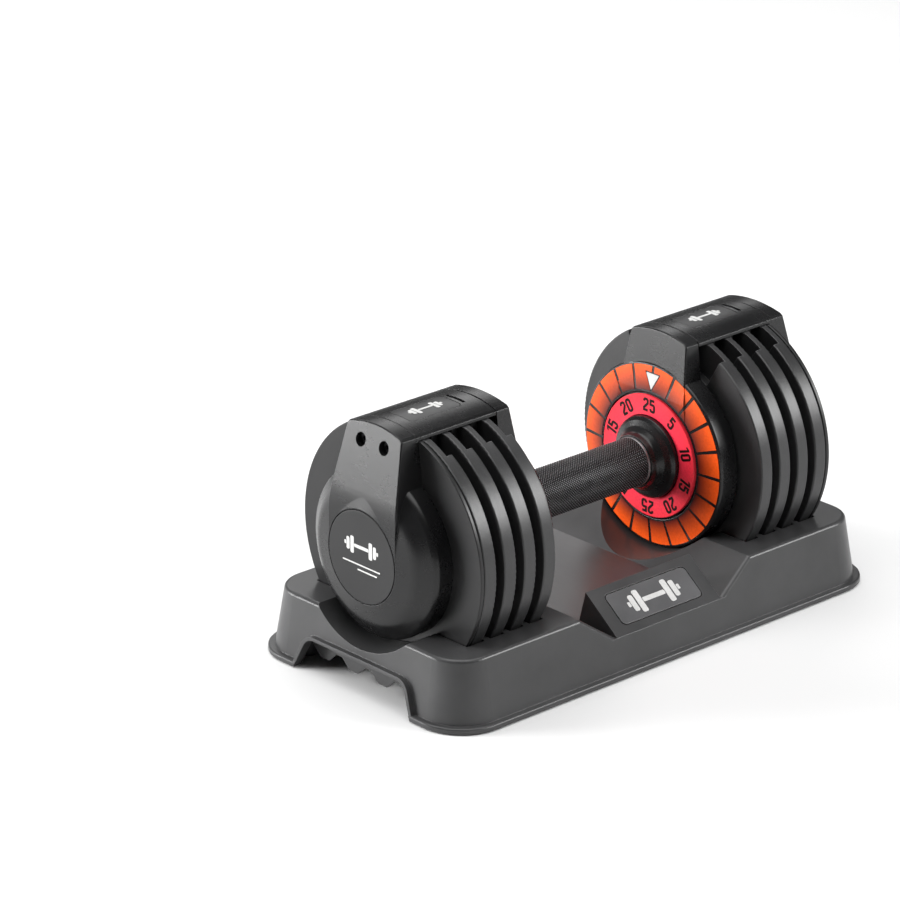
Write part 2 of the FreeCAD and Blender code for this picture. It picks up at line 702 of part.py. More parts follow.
def bridge_cover():
    """Arched top cover between the two caps."""
    x0, x1 = COVER_X
    body = crowned(0, 150, NECK_HALF, x0, x1).common(box((x0, x1), (-40, 40), (COVER_SKIRT_Z, 180)))
    body = rounded(body, 0.5, lambda p: abs(p.y) < 0.5 and p.z > 167)
    under = box((x0 - 1, x1 + 1), (-22.2, 22.2), (COVER_SKIRT_Z - 1, COVER_UNDER_Z))
    body = body.cut(under).cut(bridge_label_form(0.3))
    low, high = LABEL_GROOVE_X
    groove = slab(((low, -8), (high, -8), (high, 8), (low, 8)), 0.8, on_xy(164.6), Vector(0, 0, 9))
    return body.cut(groove)


def to_left_head(shape):
    """The same piece moved, not mirrored, to the other head."""
    copy = shape.copy()
    copy.translate(Vector(-sum(COVER_X), 0, 0))
    return copy


def bridge_label_form(grow):
    x, y = (94.0 - grow, 134.0 + grow), (-10.0 - grow, 10.0 + grow)
    points = ((x[0], y[0]), (x[1], y[0]), (x[1], y[1]), (x[0], y[1]))
    plate = slab(points, 2.5 + grow, on_xy(160), Vector(0, 0, 10))
    crown = crowned(0.5, 150, NECK_HALF, 80, 150)
    return plate.cut(crown) if grow else plate.common(crowned(0.1, 150, NECK_HALF, 80, 150)).cut(crown)


def outer_disc():
    x0, x1 = OUTER_DISC_X
    plate = rounded(disc(PLATE_RADIUS, x0, x1), 0.6, lambda p: True)
    flat = box((x0 - 1, x1 + 1), (-60, 60), (SHAFT_Z + PLATE_TOP_RISE, 200))
    plate = plate.cut(flat).cut(disc(13.0, x0 - 1, x1 + 1))
    for y in SCREW_Y:
        plate = plate.cut(disc(SCREW_HOLE, x0 - 1, x1 + 1, y, SCREW_Z))
    return plate


def core_rod():
    """Tie rod from end cap to end cap; the handle turns on it."""
    rod = disc(ROD_RADIUS, -156, 156)
    return rounded(rod, 0.8, lambda p: abs(p.x) > 155.9)


def rod_nut():
    """Washer and hexagon nut at the rod's end."""
    washer = ring(7.2, ROD_RADIUS, 147.3, 148.8)
    points = [(7.0 * math.cos(math.radians(60 * k)), SHAFT_Z + 7.0 * math.sin(math.radians(60 * k)))
              for k in range(6)]
    nut = slab_x(points, 0, 148.8, 154.5).cut(disc(ROD_RADIUS, 140, 160))
    return group([washer, nut])


def make_carriage():
    write("core_rod", core_rod())
    write("rod_nuts", both(rod_nut()))
    write_pair("outer_disc", outer_disc())
    write_pair("end_cap", end_cap())
    write_pair("end_badge", end_badge())
    write("cap_screws", both(cap_screws()))
    write_pair("inner_cap", inner_cap())
    write_pair("dial_segments", dial_segments())
    write("weight_pointers", both(weight_pointer()))
    write_pair("bearing_plate", bearing_plate())
    write("detent_leaves", both(detent_leaf()))
    write("inner_bushes", both(ring(16.0, INNER_JOURNAL + RUNNING_FIT, 79.8, 81.4)))
    write("outer_bushes", both(ring(13.0, OUTER_JOURNAL + RUNNING_FIT, 144.4, 147.0)))
    write_pair("bridge_keel", bridge_keel())
    write("bridge_cover_right", bridge_cover())
    write("bridge_cover_left", to_left_head(bridge_cover()))
    label = bridge_label_form(0)
    write("bridge_labels", group([label, to_left_head(label)]))


# ---------------------------------------------------------------- docking lock

def lock_slider():
    """Sliding bolt: a foot under the drum, a stem in its guide and a tooth for the wheel."""
    stem = box((80.0, 83.0), (-LOCK_STEM_HALF, LOCK_STEM_HALF), (LOCK_FOOT_Z, SHAFT_Z - 38.5))
    stem = rounded(stem, 0.6, lambda p: abs(p.z - LOCK_FOOT_Z) < 0.01)
    tooth = box((75.6, 79.4), (-2.2, 2.2), (SHAFT_Z - 42.5, SHAFT_Z - 38.0))
    tie = box((79.0, 81.0), (-2.2, 2.2), (SHAFT_Z - 42.5, SHAFT_Z - 38.5))
    return fused([stem, tooth, tie])


def lock_spring():
    """Coil that presses the bolt down, between the bearing plate's anchor and the tooth."""
    turns, wire, radius = 6, 0.7, 1.6
    height = SPRING_TOP_Z - SPRING_FOOT_Z - wire - 0.1
    path = Part.makeHelix(height / turns, height, radius)
    profile = Part.Wire(Part.makeCircle(wire / 2, Vector(radius, 0, 0), Vector(0, 1, 0)))
    coil = Part.Wire(path.Edges).makePipeShell([profile], True, True)
    coil.translate(Vector(77.4, 0, SPRING_FOOT_Z + wire / 2 + 0.05))
    return coil


def make_locks():
    write_pair("lock_slider", lock_slider())
    write_pair("lock_spring", lock_spring())


make_tray()
make_plates()
make_handle()
make_carriage()
make_locks()
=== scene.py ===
import bmesh
import bpy
import json
import math

from mathutils import Matrix, Vector


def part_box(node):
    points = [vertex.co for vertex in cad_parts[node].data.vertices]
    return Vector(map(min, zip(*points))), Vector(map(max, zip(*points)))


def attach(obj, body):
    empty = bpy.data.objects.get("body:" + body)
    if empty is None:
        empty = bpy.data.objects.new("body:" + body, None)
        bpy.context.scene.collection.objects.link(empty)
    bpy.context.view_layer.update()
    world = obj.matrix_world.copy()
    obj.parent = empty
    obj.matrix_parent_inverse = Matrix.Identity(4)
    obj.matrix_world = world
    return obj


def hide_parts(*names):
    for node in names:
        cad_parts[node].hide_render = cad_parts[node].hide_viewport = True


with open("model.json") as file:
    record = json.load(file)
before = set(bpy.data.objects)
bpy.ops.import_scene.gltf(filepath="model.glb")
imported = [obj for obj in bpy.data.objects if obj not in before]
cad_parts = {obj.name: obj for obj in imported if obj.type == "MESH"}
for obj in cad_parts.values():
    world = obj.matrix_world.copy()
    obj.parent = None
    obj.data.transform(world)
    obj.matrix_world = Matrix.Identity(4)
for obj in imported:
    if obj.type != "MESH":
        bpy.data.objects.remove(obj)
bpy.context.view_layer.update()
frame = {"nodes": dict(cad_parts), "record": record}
nodes = frame["nodes"]

# ---------------------------------------------------------------- places taken from the frame

MM = 0.001
grip_low, grip_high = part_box("grip_tube")
SHAFT_Z = (grip_low.z + grip_high.z) / 2
GRIP_RADIUS = (grip_high.z - grip_low.z) / 2
GRIP_HALF = grip_high.x
DIAL_FACE_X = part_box("dial_ring_right")[0].x
BADGE_FACE_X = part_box("end_badge_right")[1].x
cover_low, cover_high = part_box("bridge_cover_right")
COVER_MIDDLE_X = (cover_low.x + cover_high.x) / 2
COVER_TOP_Z = cover_high.z
COVER_LABEL_HALF = 20 * MM
LABEL_MIDDLE_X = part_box("bridge_labels")[1].x - COVER_LABEL_HALF
label_low, label_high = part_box("tray_label")
SIDES = (("right", 1), ("left", -1))

# Knurl: diamonds round the grip, their pitch along it, depth, and the tube's bore
KNURL_AROUND, KNURL_PITCH, KNURL_DEPTH = 52, 1.9 * MM, 0.60 * MM
KNURL_POINTS = 5                # points across one diamond
KNURL_RIDGE = 0.18              # flat share of each ridge
KNURL_FADE = 0.8 * MM
GRIP_BORE = 13.3 * MM
GRIP_CHAMFER = 0.4 * MM
GRIP_PLAIN_END = 2.2 * MM
GRIP_SHRINK = 0.02 * MM         # keeps the visual tube just inside the solid one

# Prints: figures on the dial, signs on the covers, badges and tray label
DIAL_WEIGHTS = ("25", "5", "10", "15", "20") * 2
FIGURE_RADIUS = 33.6 * MM
FIGURE_HEIGHT, FIGURE_LINE, FIGURE_THICK = 8.8 * MM, 1.6 * MM, 0.24 * MM
BADGE_SIGN, COVER_SIGN, TRAY_SIGN = 30 * MM, 26 * MM, 44 * MM
PRINT_THICK = 0.2 * MM
BADGE_PRINT_THICK = 0.16 * MM
STRIPE_WIDTH, STRIPE_ROUND = 0.9 * MM, 0.3 * MM
COVER_HALF, COVER_RISE = 22.3 * MM, 3.2 * MM
COVER_SLICE = 1.0 * MM          # width of the strips that let a sign follow the arched cover
COVER_PRINT_LIFT, TRAY_PRINT_LIFT = 0.04 * MM, 0.38 * MM

CAMERA_LENS, CAMERA_SENSOR = 184.42, 36.0
CAMERA_PLACE, CAMERA_AIM = (-1.8155, -1.8770, 1.1523), (-0.0405, 0.0649, 0.0999)
FLOOR_HALF = 9
LIGHT_AIM = (0, 0, 0.08)


# ---------------------------------------------------------------- camera, floor and light

def look_at(thing, target):
    """Turns a camera or light so that it faces the target."""
    thing.rotation_euler = (Vector(target) - thing.location).to_track_quat("-Z", "Y").to_euler()


def make_camera():
    """Long lens, from the front left and a little above."""
    data = bpy.data.cameras.new("camera")
    data.sensor_width = CAMERA_SENSOR
    data.lens = CAMERA_LENS
    data.clip_end = 50
    camera = bpy.data.objects.new("camera", data)
    camera.location = CAMERA_PLACE
    look_at(camera, CAMERA_AIM)
    bpy.context.scene.collection.objects.link(camera)
    bpy.context.scene.camera = camera


def area_light(name, location, size, power, mirrored=True):
    """Soft panel of light; one that isn't mirrored lights faces without a glare on them."""
    data = bpy.data.lights.new(name, "AREA")
    data.shape = "RECTANGLE"
    data.size, data.size_y = size
    data.energy = power
    light = bpy.data.objects.new(name, data)
    light.location = location
    light.visible_glossy = mirrored
    look_at(light, LIGHT_AIM)
    bpy.context.scene.collection.objects.link(light)


def studio_spot(azimuth, elevation, distance):
    """Place on a sphere round the object; azimuth in degrees from +X towards +Y."""
    a, e = math.radians(azimuth), math.radians(elevation)
    return (distance * math.cos(e) * math.cos(a), distance * math.cos(e) * math.sin(a),
            LIGHT_AIM[2] + distance * math.sin(e))


def make_studio():
    """Even white room: soft panels round the object and a plain pale floor."""
    world = bpy.data.worlds.new("studio")
    world.use_nodes = True
    background = world.node_tree.nodes["Background"]
    background.inputs["Color"].default_value = (1, 1, 1, 1)
    background.inputs["Strength"].default_value = 0.06
    bpy.context.scene.world = world
    area_light("key_left", studio_spot(133, 17, 2.3), (1.15, 1.2), 64, mirrored=False)
    area_light("low_sheen", studio_spot(133, 5, 2.3), (1.15, 0.35), 29)
    area_light("back_sheen", studio_spot(62, 30, 2.4), (1.8, 0.6), 9)
    area_light("top_soft", (-0.1, 0.1, 2.5), (2.8, 2.8), 74)
    area_light("front_soft", studio_spot(-49, 24, 2.5), (1.1, 0.8), 46)
    mesh = bpy.data.meshes.new("floor")
    corners = [(x * FLOOR_HALF, y * FLOOR_HALF, 0) for x, y in ((-1, -1), (1, -1), (1, 1), (-1, 1))]
    mesh.from_pydata(corners, [], [(0, 1, 2, 3)])
    floor = bpy.data.objects.new("floor", mesh)
    bpy.context.scene.collection.objects.link(floor)
    paint = bpy.data.materials.new("floor_paint")
    paint.use_nodes = True
    shader = paint.node_tree.nodes["Principled BSDF"]
    shader.inputs["Base Color"].default_value = (0.76, 0.76, 0.76, 1)
    shader.inputs["Roughness"].default_value = 1.0
    shader.inputs["Specular IOR Level"].default_value = 0.0
    mesh.materials.append(paint)
    bpy.context.scene.view_settings.view_transform = "Standard"


# ---------------------------------------------------------------- materials

class Surface:
    """A Principled material with its node tree close at hand."""

    def __init__(self, name, metallic=0.0, specular=0.5):
        self.material = bpy.data.materials.new(name)
        self.material.use_nodes = True
        self.tree = self.material.node_tree
        self.shader = self.tree.nodes["Principled BSDF"]
        self.shader.inputs["Metallic"].default_value = metallic
        self.shader.inputs["Specular IOR Level"].default_value = specular
        self.place = self.add("ShaderNodeTexCoord").outputs["Object"]

    def add(self, kind, **settings):
        node = self.tree.nodes.new(kind)
        for key, value in settings.items():
            setattr(node, key, value)
        return node

    def join(self, source, target):
        self.tree.links.new(source, target)

    def noise(self, scale, detail=3.0, rough=0.55, stretch=None):
        """Noise in the object's own space; scale is in features a metre."""
        node = self.add("ShaderNodeTexNoise")
        node.inputs["Scale"].default_value = scale
        node.inputs["Detail"].default_value = detail
        node.inputs["Roughness"].default_value = rough
        if stretch:
            mapping = self.add("ShaderNodeMapping")
            mapping.inputs["Scale"].default_value = stretch
            self.join(self.place, mapping.inputs["Vector"])
            self.join(mapping.outputs["Vector"], node.inputs["Vector"])
        else:
            self.join(self.place, node.inputs["Vector"])
        return node.outputs["Fac"]

    def spread(self, source, low, high, start=0.3, end=0.7):
        node = self.add("ShaderNodeMapRange")
        for key, value in (("From Min", start), ("From Max", end), ("To Min", low), ("To Max", high)):
            node.inputs[key].default_value = value
        self.join(source, node.inputs["Value"])
        return node.outputs["Result"]

    def blend(self, share, first, second):
        """Colour mix; first and second are colours or sockets."""
        node = self.add("ShaderNodeMix", data_type="RGBA")
        self.join(share, node.inputs["Factor"])
        for socket, value in ((node.inputs[6], first), (node.inputs[7], second)):
            if isinstance(value, tuple):
                socket.default_value = (*value, 1)
            else:
                self.join(value, socket)
        return node.outputs[2]

    def maths(self, operation, first, second=None):
        node = self.add("ShaderNodeMath", operation=operation)
        node.use_clamp = operation in ("ADD", "SUBTRACT", "MULTIPLY")
        for socket, value in zip(node.inputs, (first, second)):
            if isinstance(value, (int, float)):
                socket.default_value = value
            elif value is not None:
                self.join(value, socket)
        return node.outputs[0]

    def edges(self, radius):
        """1 on sharp edges, 0 on open faces: where a softened normal leaves the true one."""
        soft = self.add("ShaderNodeBevel", samples=6)
        soft.inputs["Radius"].default_value = radius
        true = self.add("ShaderNodeNewGeometry")
        dot = self.add("ShaderNodeVectorMath", operation="DOT_PRODUCT")
        self.join(soft.outputs["Normal"], dot.inputs[0])
        self.join(true.outputs["Normal"], dot.inputs[1])
        return self.spread(dot.outputs["Value"], 1.0, 0.0, 0.74, 0.965), soft.outputs["Normal"]

    def bump(self, layers, normal=None):
        """layers: (height socket, distance in metres), applied one on the other."""
        for height, distance in layers:
            node = self.add("ShaderNodeBump")
            node.inputs["Strength"].default_value = 1.0
            node.inputs["Distance"].default_value = distance
            self.join(height, node.inputs["Height"])
            if normal:
                self.join(normal, node.inputs["Normal"])
            normal = node.outputs["Normal"]
        self.join(normal, self.shader.inputs["Normal"])

    def colour(self, socket):
        self.join(socket, self.shader.inputs["Base Color"])

    def roughness(self, socket):
        self.join(socket, self.shader.inputs["Roughness"])


def moulded(name, base, rough, grain=0.000012, grain_scale=2600, edge_radius=0.0005, edge_highlight_lift=1.8,
            specular=0.5):
    """Satin moulded plastic: spark-eroded grain, faint cloudiness, edges a little brighter: a painted
    highlight on the edges, broken up like wear.
    """
    s = Surface(name, specular=specular)
    cloud = s.noise(26, 4)
    scuff = s.noise(340, 2, 0.7, (1, 0.25, 1))
    edge, soft = s.edges(edge_radius)
    darker = tuple(c * 0.82 for c in base)
    lighter = tuple(min(c * 1.15, 1) for c in base)
    # Edge colour: painted highlight along sharp edges, mixed with scuffed wear
    edge_highlight_and_wear_colour = tuple(min(c * edge_highlight_lift + 0.035, 1) for c in base)
    body = s.blend(s.spread(cloud, 0, 1), darker, lighter)
    wear_and_edge_highlight = s.maths("MULTIPLY", edge, s.spread(scuff, 0.2, 1.0))
    s.colour(s.blend(wear_and_edge_highlight, body, edge_highlight_and_wear_colour))
    s.roughness(s.maths("ADD", s.spread(cloud, rough - 0.03, rough + 0.03),
                        s.spread(scuff, -0.01, 0.015)))
    s.bump([(s.noise(grain_scale, 2), grain), (s.noise(70, 1), 0.00002)], soft)
    return s.material


def powder_coat():
    """Fine-textured graphite paint on the plates; the edges are painted brighter: a painted highlight
    together with burnish wear.
    """
    s = Surface("plate_paint", specular=0.6)
    speck = s.noise(1500, 3, 0.6)
    cloud = s.noise(18, 4)
    edge, soft = s.edges(0.0006)
    body = s.blend(s.spread(cloud, 0, 1), (0.017, 0.017, 0.0175), (0.027, 0.027, 0.028))
    body = s.blend(s.spread(speck, 0, 0.6, 0.55, 0.8), body, (0.06, 0.06, 0.062))
    wear_and_edge_highlight = s.maths("MULTIPLY", edge, s.spread(s.noise(420, 3, 0.7), 0.1, 1.0))
    # Bright edge colour: painted highlight on the plate rims, mixed with burnish wear
    s.colour(s.blend(wear_and_edge_highlight, body, (0.30, 0.30, 0.31)))
    s.roughness(s.spread(speck, 0.30, 0.42))
    s.bump([(speck, 0.00008)], soft)
    return s.material


def steel(name, base, rough, specular=0.5, stretch=(1, 12, 12)):
    """Bare or plated steel with machining lines that run round the shaft."""
    s = Surface(name, metallic=1.0, specular=specular)
    lines = s.noise(900, 2, 0.6, stretch)
    cloud = s.noise(60, 4)
    darker = tuple(c * 0.8 for c in base)
    s.colour(s.blend(s.spread(cloud, 0, 1), darker, base))
    s.roughness(s.maths("ADD", s.spread(lines, rough - 0.06, rough + 0.08),
                        s.spread(cloud, 0.0, 0.05)))
    s.bump([(lines, 0.00001)])
    return s.material


def knurl_steel():
    """Dark plated steel; the diamonds' tips are painted brighter than their valleys: a painted highlight
    together with rubbing wear.
    """
    s = Surface("grip_steel", metallic=0.85)
    apart = s.add("ShaderNodeSeparateXYZ")
    s.join(s.place, apart.inputs[0])
    up = s.maths("SUBTRACT", apart.outputs["Z"], SHAFT_Z)
    up.node.use_clamp = False
    reach = s.maths("SQRT", sum_of_squares(s, apart.outputs["Y"], up))
    # Mask of the diamonds' outer skin: painted highlight with rubbing wear on the tips
    tip_highlight_and_wear = s.spread(reach, 0, 1, GRIP_RADIUS - 0.00030, GRIP_RADIUS - 0.00005)
    grime = s.noise(220, 4, 0.65)
    dark = s.blend(s.spread(grime, 0, 1), (0.006, 0.006, 0.0063), (0.012, 0.012, 0.0125))
    s.colour(s.blend(s.maths("MULTIPLY", tip_highlight_and_wear, s.spread(grime, 0.65, 1.0)), dark, (0.42, 0.42, 0.43)))
    s.roughness(s.spread(grime, 0.34, 0.46))
    return s.material


def sum_of_squares(s, first, second):
    squares = []
    for source in (first, second):
        node = s.add("ShaderNodeMath", operation="MULTIPLY")
        s.join(source, node.inputs[0])
        s.join(source, node.inputs[1])
        squares.append(node.outputs[0])
    total = s.add("ShaderNodeMath", operation="ADD")
    s.join(squares[0], total.inputs[0])
    s.join(squares[1], total.inputs[1])
    return total.outputs[0]


def radial_print(name, inner, outer, near, far, rough):
    """Printed film whose colour runs from near to far with the distance from the shaft; on the orange
    segments this run is a painted glow.
    """
    s = Surface(name, specular=0.25)
    apart = s.add("ShaderNodeSeparateXYZ")
    s.join(s.place, apart.inputs[0])
    up = s.maths("SUBTRACT", apart.outputs["Z"], SHAFT_Z)
    up.node.use_clamp = False
    reach = s.maths("SQRT", sum_of_squares(s, apart.outputs["Y"], up))
    ink = s.noise(700, 3)
    run = s.blend(s.spread(reach, 0, 1, inner, outer), near, far)
    s.colour(s.blend(s.spread(ink, 0, 0.18), run, (0.0, 0.0, 0.0)))
    s.roughness(s.spread(ink, rough, rough + 0.08))
    s.bump([(ink, 0.00001)])
    return s.material


def printed(name, base, rough=0.4, specular=0.5):
    """Pad-printed ink: even colour with a faint mottle and thin spots."""
    s = Surface(name, specular=specular)
    mottle = s.noise(900, 3, 0.6)
    cloud = s.noise(90, 3)
    thin = tuple(c * 0.86 for c in base)
    s.colour(s.blend(s.spread(s.maths("MULTIPLY", mottle, cloud), 0, 1, 0.15, 0.4), thin, base))
    s.roughness(s.spread(mottle, rough, rough + 0.1))
    s.bump([(mottle, 0.000008)])
    return s.material


def make_materials():
    return {
        "tray_plastic": moulded("tray_plastic", (0.046, 0.046, 0.047), 0.33, grain=0.000005),
        "cap_plastic": moulded("cap_plastic", (0.008, 0.008, 0.0085), 0.27, grain=0.000005, specular=0.40),
        "disc_plastic": moulded("disc_plastic", (0.013, 0.013, 0.0135), 0.36, specular=0.42),
        "inner_plastic": moulded("inner_plastic", (0.013, 0.013, 0.0135), 0.36, specular=0.45),
        "label_panel": moulded("label_panel", (0.095, 0.095, 0.098), 0.30, grain_scale=1800),
        "badge_panel": moulded("badge_panel", (0.008, 0.008, 0.0085), 0.34, grain_scale=1800),
        "bush_plastic": moulded("bush_plastic", (0.62, 0.60, 0.52), 0.42),
        "rubber_pad": moulded("rubber_pad", (0.018, 0.018, 0.018), 0.75, grain=0.00008, grain_scale=900),
        "dial_red": radial_print("dial_red", 0.0266, 0.0399, (0.86, 0.036, 0.075),
                                 (0.88, 0.032, 0.055), 0.42),
        # Orange segments: a painted glow, near-black at the inner edge brightening to orange at the outer
        # edge
        "segment_orange": radial_print("segment_orange", 0.0425, 0.0578, (0.07, 0.006, 0.005),
                                       (0.95, 0.105, 0.008), 0.40),
        "white_print": printed("white_print", (0.62, 0.62, 0.61)),
        "black_print": printed("black_print", (0.006, 0.004, 0.004), 0.5, specular=0.15),
        "plate_paint": powder_coat(),
        "grip_steel": knurl_steel(),
        "spring_steel": steel("spring_steel", (0.45, 0.45, 0.47), 0.30),
        "part_steel": steel("part_steel", (0.50, 0.50, 0.52), 0.32),
        "screw_steel": steel("screw_steel", (0.09, 0.09, 0.095), 0.26),
    }


def dress_frame(materials):
    """Gives every CAD node the material of its slot."""
    slot_of = {row["node"]: row["material_slot"] for row in frame["record"]["subparts"]}
    for name, node in nodes.items():
        node.data.materials.clear()
        node.data.materials.append(materials[slot_of[name]])


# ---------------------------------------------------------------- pieces

def finish_piece(name, mesh, material, body):
    """Puts a mesh in the scene as a piece that rides a body and fills a material slot."""
    piece = bpy.data.objects.new(name, mesh)
    mesh.materials.append(material)
    bpy.context.scene.collection.objects.link(piece)
    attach(piece, body)
    return piece


def knurl_groove(phase):
    """Depth share of one family of grooves, 0 on the ridge and 1 in the valley."""
    share = abs((phase % 1.0) - 0.5) * 2
    return max(0.0, share - KNURL_RIDGE) / (1 - KNURL_RIDGE)


def knurl_radius(x, angle, band):
    """Radius of the knurled tube at a place along it and an angle round it."""
    along, across = x / KNURL_PITCH, angle / (2 * math.pi) * KNURL_AROUND
    cut = max(knurl_groove(across + along), knurl_groove(across - along))
    fade = max(0.0, min(1.0, (band - abs(x)) / KNURL_FADE))
    return GRIP_RADIUS - GRIP_SHRINK - KNURL_DEPTH * cut * fade


def make_grip(material):
    """Knurled tube: two crossing helical families of grooves leave rows of diamonds."""
    turns = KNURL_AROUND * KNURL_POINTS
    band = GRIP_HALF - GRIP_PLAIN_END
    steps = int(2 * band / KNURL_PITCH) * KNURL_POINTS
    plain = GRIP_RADIUS - GRIP_SHRINK
    end = ((GRIP_HALF - GRIP_CHAMFER, plain), (GRIP_HALF, plain - GRIP_CHAMFER), (GRIP_HALF, GRIP_BORE))
    mesh = bmesh.new()
    rings = []

    def add_ring(x, radius_at):
        ring = []
        for k in range(turns):
            angle = 2 * math.pi * k / turns
            r = radius_at(angle)
            ring.append(mesh.verts.new((x, r * math.sin(angle), SHAFT_Z + r * math.cos(angle))))
        rings.append(ring)

    for x, radius in reversed(end):
        add_ring(-x, lambda angle: radius)
    for k in range(steps + 1):
        x = -band + 2 * band * k / steps
        add_ring(x, lambda angle: knurl_radius(x, angle, band))
    for x, radius in end:
        add_ring(x, lambda angle: radius)
    for first, second in zip(rings, rings[1:] + rings[:1]):
        for k in range(turns):
            mesh.faces.new((first[k], second[k], second[(k + 1) % turns], first[(k + 1) % turns]))
    bmesh.ops.recalc_face_normals(mesh, faces=mesh.faces)
    data = bpy.data.meshes.new("knurled_grip")
    mesh.to_mesh(data)
    mesh.free()
    piece = finish_piece("knurled_grip", data, material, "handle")
    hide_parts("grip_tube")


def stroke_mesh(path, width, thickness, closed=False):
    """Raised band of even width along a flat path, centred on Z = 0."""
    work = bmesh.new()
    count = len(path)
    corners = []
    for k in range(count):
        here = Vector(path[k])
        before = Vector(path[k - 1]) if closed or k else None
        after = Vector(path[(k + 1) % count]) if closed or k < count - 1 else None
        ways = [w.normalized() for w in ((here - before) if before else None,
                                         (after - here) if after else None) if w]
        along = sum(ways, Vector((0, 0))).normalized()
        across = Vector((-along.y, along.x))
        stretch = 1 / max(0.62, across.dot(Vector((-ways[0].y, ways[0].x))))
        offset = across * (width / 2 * stretch)
        corners.append([work.verts.new((*(here + offset * side), thickness / 2 * level))
                        for side, level in ((1, 1), (1, -1), (-1, -1), (-1, 1))])
    pairs = list(zip(corners, corners[1:] + (corners[:1] if closed else [])))
    for first, second in pairs:
        for k in range(4):
            work.faces.new((first[k], first[(k + 1) % 4], second[(k + 1) % 4], second[k]))
    if not closed:
        work.faces.new(corners[0])
        work.faces.new(corners[-1])
    bmesh.ops.recalc_face_normals(work, faces=work.faces)
    mesh = bpy.data.meshes.new("stroke")
    work.to_mesh(mesh)
    work.free()
    return mesh


def bend(x, y, radius, start, stop, steps=5):
    """Points of an arc about (x, y), angles in degrees."""
    angles = [math.radians(start + (stop - start) * k / steps) for k in range(steps + 1)]
    return [(x + radius * math.cos(a), y + radius * math.sin(a)) for a in angles]


def figure_mesh(digit, width, height, line, thickness):
    """One narrow, bold figure: 0, 1, 2 or 5, its lower left corner at the origin."""
    a, r = line / 2, 0.36 * (width - line)
    left, right, low, high = a, width - a, a, height - a
    if digit == "0":
        return stroke_mesh(round_bar(width / 2, height / 2, width - line, height - line, r),
                           line, thickness, True)
    if digit == "1":
        flag = 0.22 * height
        points = ((line, 0), (2 * line, 0), (2 * line, height), (1.25 * line, height),
                  (0, height - 0.6 * flag), (0, height - 1.25 * flag), (line, height - 0.8 * flag))
        return slab_mesh(points, thickness)
    if digit == "2":
        path = [(left, high - r - 0.05 * height)] + bend(left + r, high - r, r, 180, 90)
        path += bend(right - r, high - r, r, 90, 0)
        path += [(right, 0.62 * height), (left, low + 0.16 * height), (left, low), (right, low)]
        return stroke_mesh(path, line, thickness)
    waist = 0.60 * height
    path = [(right, high), (left, high), (left, waist)] + bend(right - r, waist - r, r, 90, 0)
    path += bend(right - r, low + r, r, 0, -90) + bend(left + r, low + r, r, -90, -180)
    return stroke_mesh(path + [(left, low + r + 0.06 * height)], line, thickness)


def number_meshes(words, height, line, thickness):
    """The figures of a number side by side, centred, lying in X-Y with faces towards +Z."""
    widths = [2 * line if digit == "1" else 0.54 * height for digit in words]
    gap = 0.55 * line
    x = -(sum(widths) + gap * (len(words) - 1)) / 2
    meshes = []
    for digit, width in zip(words, widths):
        mesh = figure_mesh(digit, width, height, line, thickness)
        mesh.transform(Matrix.Translation((x, -height / 2, 0)))
        meshes.append(mesh)
        x += width + gap
    return meshes


def joined(name, meshes):
    """One mesh out of several, with doubled points merged."""
    work = bmesh.new()
    for mesh in meshes:
        work.from_mesh(mesh)
        bpy.data.meshes.remove(mesh)
    bmesh.ops.remove_doubles(work, verts=work.verts, dist=1e-6)
    data = bpy.data.meshes.new(name)
    work.to_mesh(data)
    work.free()
    return data


def make_dial_figures(material):
    """Ten weights round each dial ring, read from the handle's side, tops outwards."""
    for side, sign in SIDES:
        meshes = []
        for k, words in enumerate(DIAL_WEIGHTS):
            angle = 2 * math.pi * k / len(DIAL_WEIGHTS)
            # Local X to the reader's right, local Y outwards, local Z towards the handle
            outwards = Vector((0, -math.sin(angle), math.cos(angle)))
            facing = Vector((-sign, 0, 0))
            rightwards = outwards.cross(facing)
            turn = Matrix((rightwards, outwards, facing)).transposed().to_4x4()
            spot = Vector((sign * DIAL_FACE_X, 0, SHAFT_Z)) + outwards * FIGURE_RADIUS
            for mesh in number_meshes(words, FIGURE_HEIGHT, FIGURE_LINE, FIGURE_THICK):
                mesh.transform(Matrix.Translation(spot) @ turn)
                meshes.append(mesh)
        finish_piece("dial_figures_" + side, joined("dial_figures_" + side, meshes), material,
                     "handle")


def slab_mesh(points, thickness, slice_width=None):
    """Thin raised shape from a flat outline, X-Y, centred on Z = 0; cut across Y in slices."""
    work = bmesh.new()
    low = [work.verts.new((x, y, -thickness / 2)) for x, y in points]
    high = [work.verts.new((x, y, thickness / 2)) for x, y in points]
    work.faces.new(high)
    work.faces.new(list(reversed(low)))
    count = len(points)
    for k in range(count):
        work.faces.new((low[k], low[(k + 1) % count], high[(k + 1) % count], high[k]))
    if slice_width:
        low_y, high_y = min(y for x, y in points), max(y for x, y in points)
        for k in range(math.ceil(low_y / slice_width), math.ceil(high_y / slice_width)):
            everything = work.verts[:] + work.edges[:] + work.faces[:]
            bmesh.ops.bisect_plane(work, geom=everything, plane_co=(0, k * slice_width, 0),
                                   plane_no=(0, 1, 0), dist=1e-7)
    bmesh.ops.recalc_face_normals(work, faces=work.faces)
    mesh = bpy.data.meshes.new("slab")
    work.to_mesh(mesh)
    work.free()
    return mesh


def round_bar(x, y, width, height, radius, steps=5):
    """Outline of a rectangle with round corners, centred at (x, y)."""
    points = []
    for corner, (sx, sy) in enumerate(((1, 1), (-1, 1), (-1, -1), (1, -1))):
        for k in range(steps + 1):
            angle = math.pi / 2 * (corner + k / steps)
            points.append((x + sx * (width / 2 - radius) + radius * math.cos(angle),
                           y + sy * (height / 2 - radius) + radius * math.sin(angle)))
    return points


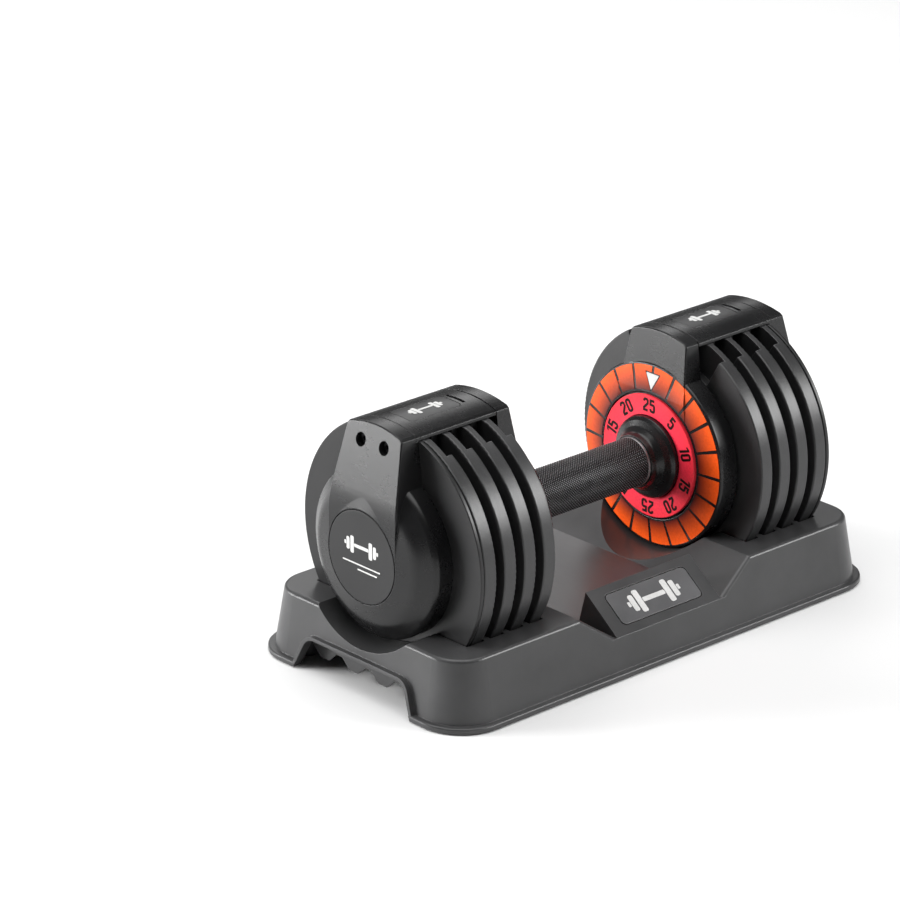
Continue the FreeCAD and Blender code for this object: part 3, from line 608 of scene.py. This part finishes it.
def pictogram(width, x=0.0, y=0.0):
    """Outlines of a plain dumbbell sign: a bar with two blocks at each end."""
    w = width
    shapes = [round_bar(x, y, 0.42 * w, 0.07 * w, 0.02 * w)]
    for sign in (-1, 1):
        shapes.append(round_bar(x + sign * 0.27 * w, y, 0.10 * w, 0.36 * w, 0.03 * w))
        shapes.append(round_bar(x + sign * 0.39 * w, y, 0.09 * w, 0.26 * w, 0.03 * w))
        shapes.append(round_bar(x + sign * 0.47 * w, y, 0.05 * w, 0.08 * w, 0.015 * w))
    return shapes


def make_badge_prints(material):
    """Sign and two stripes on each end badge."""
    shapes = pictogram(BADGE_SIGN, y=0.2 * BADGE_SIGN)
    shapes.append(round_bar(0, -5.4 * MM, 33 * MM, STRIPE_WIDTH, STRIPE_ROUND))
    shapes.append(round_bar(5.2 * MM, -8.6 * MM, 17 * MM, STRIPE_WIDTH, STRIPE_ROUND))
    for side, sign in SIDES:
        meshes = [slab_mesh(points, BADGE_PRINT_THICK) for points in shapes]
        up, facing = Vector((0, 0, 1)), Vector((sign, 0, 0))
        turn = Matrix((up.cross(facing), up, facing)).transposed().to_4x4()
        place = Matrix.Translation((sign * BADGE_FACE_X, 0, SHAFT_Z)) @ turn
        for mesh in meshes:
            mesh.transform(place)
        finish_piece("badge_print_" + side, joined("badge_print_" + side, meshes), material,
                     "carriage")


def make_cover_prints(material):
    """Sign on top of each bridge cover, read from the front side."""
    for side, middle in (("right", LABEL_MIDDLE_X), ("left", LABEL_MIDDLE_X - 2 * COVER_MIDDLE_X)):
        meshes = [slab_mesh(points, PRINT_THICK, COVER_SLICE) for points in pictogram(COVER_SIGN)]
        place = Matrix.Translation((middle, 0, COVER_TOP_Z + COVER_PRINT_LIFT))
        for mesh in meshes:
            mesh.transform(place)
            for vertex in mesh.vertices:
                vertex.co.z -= crown_drop(vertex.co.y)
        finish_piece("cover_print_" + side, joined("cover_print_" + side, meshes), material,
                     "carriage")


def crown_drop(y):
    """How far the arched cover falls away at a distance y from its middle line."""
    radius = (COVER_HALF * COVER_HALF + COVER_RISE * COVER_RISE) / (2 * COVER_RISE)
    return radius - math.sqrt(radius * radius - y * y)


def make_tray_print(material):
    """Sign on the tray's sloping label."""
    rise = label_high.z - label_low.z
    run = label_high.y - label_low.y
    slope = math.atan2(rise, run)
    middle = (label_low + label_high) / 2
    normal = Vector((0, -math.sin(slope), math.cos(slope)))
    rightwards = Vector((1, 0, 0))
    up = normal.cross(rightwards)
    turn = Matrix((rightwards, up, normal)).transposed().to_4x4()
    meshes = [slab_mesh(points, PRINT_THICK) for points in pictogram(TRAY_SIGN)]
    for mesh in meshes:
        mesh.transform(Matrix.Translation(middle + normal * TRAY_PRINT_LIFT) @ turn)
    finish_piece("tray_print", joined("tray_print", meshes), material, "tray")


make_camera()
make_studio()
materials = make_materials()
dress_frame(materials)
make_grip(materials["grip_steel"])
make_dial_figures(materials["black_print"])
make_badge_prints(materials["white_print"])
make_cover_prints(materials["white_print"])
make_tray_print(materials["white_print"])
